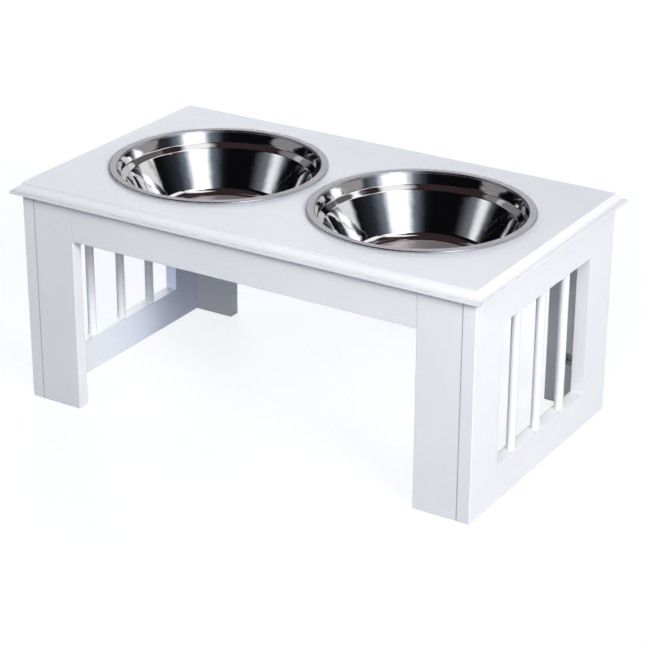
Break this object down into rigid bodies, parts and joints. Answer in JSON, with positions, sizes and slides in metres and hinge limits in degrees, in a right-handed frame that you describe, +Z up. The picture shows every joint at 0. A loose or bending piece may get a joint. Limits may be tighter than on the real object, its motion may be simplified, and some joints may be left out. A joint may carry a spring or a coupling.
{
  "type": "elevated pet bowl stand",
  "caption": "Low white table for pet bowls: moulded top with round holes for drop-in steel bowls, on legs and rails with spindled side frames.",
  "frame": {"origin": "on the floor, under the middle of the top board", "axes": "+X along the length, from the left bowl to the right one; +Y from front to back; +Z up"},
  "size_m": [0.58, 0.336, 0.26],
  "materials": {
    "white_paint": "satin white paint on wood",
    "bowl_steel": "mirror-polished inside, satin flange",
    "cam_zinc": "dull cast zinc",
    "bolt_steel": "zinc plated",
    "dowel_wood": "bare wood"
  },
  "bodies": {
    "stand": {"top_board": "white_paint", "front_rail": "white_paint", "back_rail": "white_paint", "front_left_leg": "white_paint", "front_right_leg": "white_paint", "back_left_leg": "white_paint", "back_right_leg": "white_paint", "left_front_stile": "white_paint", "left_back_stile": "white_paint", "left_top_rail": "white_paint", "left_bottom_rail": "white_paint", "left_front_spindle": "white_paint", "left_middle_spindle": "white_paint", "left_back_spindle": "white_paint", "right_front_stile": "white_paint", "right_back_stile": "white_paint", "right_top_rail": "white_paint", "right_bottom_rail": "white_paint", "right_front_spindle": "white_paint", "right_middle_spindle": "white_paint", "right_back_spindle": "white_paint", "leg_cam_bolts": "bolt_steel", "top_cam_bolts": "bolt_steel", "corner_dowels": "dowel_wood", "rail_dowels": "dowel_wood", "side_frame_dowels": "dowel_wood", "top_dowels": "dowel_wood"},
    "left_bowl": {"left_bowl": "bowl_steel"},
    "right_bowl": {"right_bowl": "bowl_steel"},
    "front_left_lower_cam": {"front_left_lower_cam": "cam_zinc"},
    "front_left_upper_cam": {"front_left_upper_cam": "cam_zinc"},
    "front_left_top_cam": {"front_left_top_cam": "cam_zinc"},
    "front_right_lower_cam": {"front_right_lower_cam": "cam_zinc"},
    "front_right_upper_cam": {"front_right_upper_cam": "cam_zinc"},
    "front_right_top_cam": {"front_right_top_cam": "cam_zinc"},
    "back_left_lower_cam": {"back_left_lower_cam": "cam_zinc"},
    "back_left_upper_cam": {"back_left_upper_cam": "cam_zinc"},
    "back_left_top_cam": {"back_left_top_cam": "cam_zinc"},
    "back_right_lower_cam": {"back_right_lower_cam": "cam_zinc"},
    "back_right_upper_cam": {"back_right_upper_cam": "cam_zinc"},
    "back_right_top_cam": {"back_right_top_cam": "cam_zinc"}
  },
  "joints": [
    {"name": "left_bowl_lift", "type": "slide", "parent": "stand", "child": "left_bowl", "axis": [0, 0, 1], "range_m": [0, 0.08]},
    {"name": "right_bowl_lift", "type": "slide", "parent": "stand", "child": "right_bowl", "axis": [0, 0, 1], "range_m": [0, 0.08]},
    {"name": "front_left_lower_cam_turn", "type": "hinge", "parent": "stand", "child": "front_left_lower_cam", "pos_m": [-0.241, -0.1547, 0.056], "axis": [0, 1, 0], "range_deg": [0, 180]},
    {"name": "front_left_upper_cam_turn", "type": "hinge", "parent": "stand", "child": "front_left_upper_cam", "pos_m": [-0.241, -0.1547, 0.189], "axis": [0, 1, 0], "range_deg": [0, 180]},
    {"name": "front_left_top_cam_turn", "type": "hinge", "parent": "stand", "child": "front_left_top_cam", "pos_m": [-0.15, -0.1547, 0.221], "axis": [0, 1, 0], "range_deg": [0, 180]},
    {"name": "front_right_lower_cam_turn", "type": "hinge", "parent": "stand", "child": "front_right_lower_cam", "pos_m": [0.241, -0.1547, 0.056], "axis": [0, 1, 0], "range_deg": [0, 180]},
    {"name": "front_right_upper_cam_turn", "type": "hinge", "parent": "stand", "child": "front_right_upper_cam", "pos_m": [0.241, -0.1547, 0.189], "axis": [0, 1, 0], "range_deg": [0, 180]},
    {"name": "front_right_top_cam_turn", "type": "hinge", "parent": "stand", "child": "front_right_top_cam", "pos_m": [0.15, -0.1547, 0.221], "axis": [0, 1, 0], "range_deg": [0, 180]},
    {"name": "back_left_lower_cam_turn", "type": "hinge", "parent": "stand", "child": "back_left_lower_cam", "pos_m": [-0.241, 0.1547, 0.056], "axis": [0, -1, 0], "range_deg": [0, 180]},
    {"name": "back_left_upper_cam_turn", "type": "hinge", "parent": "stand", "child": "back_left_upper_cam", "pos_m": [-0.241, 0.1547, 0.189], "axis": [0, -1, 0], "range_deg": [0, 180]},
    {"name": "back_left_top_cam_turn", "type": "hinge", "parent": "stand", "child": "back_left_top_cam", "pos_m": [-0.15, 0.1547, 0.221], "axis": [0, -1, 0], "range_deg": [0, 180]},
    {"name": "back_right_lower_cam_turn", "type": "hinge", "parent": "stand", "child": "back_right_lower_cam", "pos_m": [0.241, 0.1547, 0.056], "axis": [0, -1, 0], "range_deg": [0, 180]},
    {"name": "back_right_upper_cam_turn", "type": "hinge", "parent": "stand", "child": "back_right_upper_cam", "pos_m": [0.241, 0.1547, 0.189], "axis": [0, -1, 0], "range_deg": [0, 180]},
    {"name": "back_right_top_cam_turn", "type": "hinge", "parent": "stand", "child": "back_right_top_cam", "pos_m": [0.15, 0.1547, 0.221], "axis": [0, -1, 0], "range_deg": [0, 180]}
  ]
}
